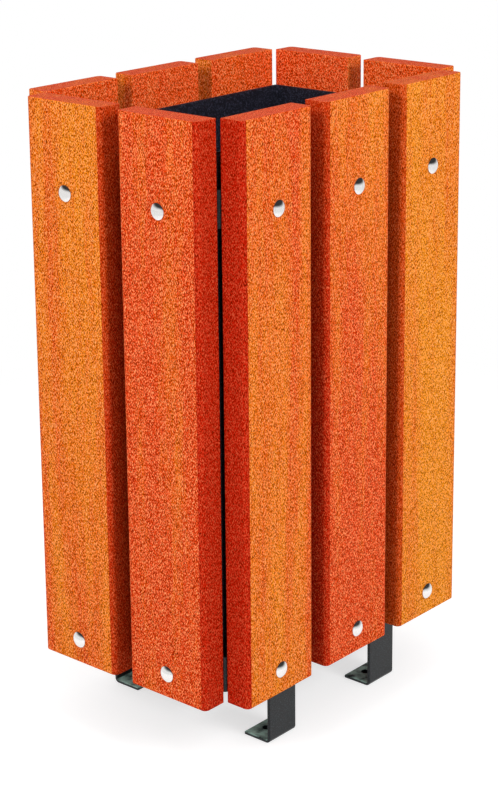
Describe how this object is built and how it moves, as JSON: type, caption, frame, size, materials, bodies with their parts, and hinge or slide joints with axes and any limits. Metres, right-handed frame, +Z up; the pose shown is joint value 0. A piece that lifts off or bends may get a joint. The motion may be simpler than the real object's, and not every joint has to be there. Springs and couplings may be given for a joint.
{
  "type": "litter bin",
  "caption": "Rectangular litter bin with upright hardwood slats bolted round a flat-bar frame on anchored feet, and a lift-out sheet-steel liner with a wire bail.",
  "frame": {"origin": "on the ground, at the middle of the bin's footprint", "axes": "+Z up; the long sides, with three slats each, face -Y (front) and +Y (rear); the short sides, with two slats each, face -X (left) and +X (right)"},
  "size_m": [0.4964, 0.3494, 0.79],
  "materials": {
    "hardwood": "planed and oiled exotic hardwood, orange-brown",
    "bolts": "polished stainless-steel coach bolts",
    "nuts": "zinc-plated flange nuts",
    "frame": "anthracite powder coat on steel flat bar",
    "liner": "anthracite powder coat on folded sheet steel",
    "bail": "galvanised steel wire"
  },
  "bodies": {
    "frame": {"front_left_slat": "hardwood", "front_middle_slat": "hardwood", "front_right_slat": "hardwood", "right_front_slat": "hardwood", "right_rear_slat": "hardwood", "rear_right_slat": "hardwood", "rear_middle_slat": "hardwood", "rear_left_slat": "hardwood", "left_rear_slat": "hardwood", "left_front_slat": "hardwood", "front_left_lower_bolt": "bolts", "front_left_upper_bolt": "bolts", "front_middle_lower_bolt": "bolts", "front_middle_upper_bolt": "bolts", "front_right_lower_bolt": "bolts", "front_right_upper_bolt": "bolts", "right_front_lower_bolt": "bolts", "right_front_upper_bolt": "bolts", "right_rear_lower_bolt": "bolts", "right_rear_upper_bolt": "bolts", "rear_right_lower_bolt": "bolts", "rear_right_upper_bolt": "bolts", "rear_middle_lower_bolt": "bolts", "rear_middle_upper_bolt": "bolts", "rear_left_lower_bolt": "bolts", "rear_left_upper_bolt": "bolts", "left_rear_lower_bolt": "bolts", "left_rear_upper_bolt": "bolts", "left_front_lower_bolt": "bolts", "left_front_upper_bolt": "bolts", "front_left_lower_nut": "nuts", "front_left_upper_nut": "nuts", "front_middle_lower_nut": "nuts", "front_middle_upper_nut": "nuts", "front_right_lower_nut": "nuts", "front_right_upper_nut": "nuts", "right_front_lower_nut": "nuts", "right_front_upper_nut": "nuts", "right_rear_lower_nut": "nuts", "right_rear_upper_nut": "nuts", "rear_right_lower_nut": "nuts", "rear_right_upper_nut": "nuts", "rear_middle_lower_nut": "nuts", "rear_middle_upper_nut": "nuts", "rear_left_lower_nut": "nuts", "rear_left_upper_nut": "nuts", "left_rear_lower_nut": "nuts", "left_rear_upper_nut": "nuts", "left_front_lower_nut": "nuts", "left_front_upper_nut": "nuts", "lower_hoop": "frame", "upper_hoop": "frame", "front_left_leg": "frame", "front_right_leg": "frame", "rear_left_leg": "frame", "rear_right_leg": "frame", "left_liner_support": "frame", "right_liner_support": "frame"},
    "liner": {"liner": "liner"},
    "bail": {"bail": "bail"}
  },
  "joints": [
    {"name": "liner_lift", "type": "slide", "parent": "frame", "child": "liner", "axis": [0, 0, 1], "range_m": [0, 0.7]},
    {"name": "bail_swing", "type": "hinge", "parent": "liner", "child": "bail", "pos_m": [0, 0, 0.721], "axis": [1, 0, 0], "continuous": true}
  ]
}
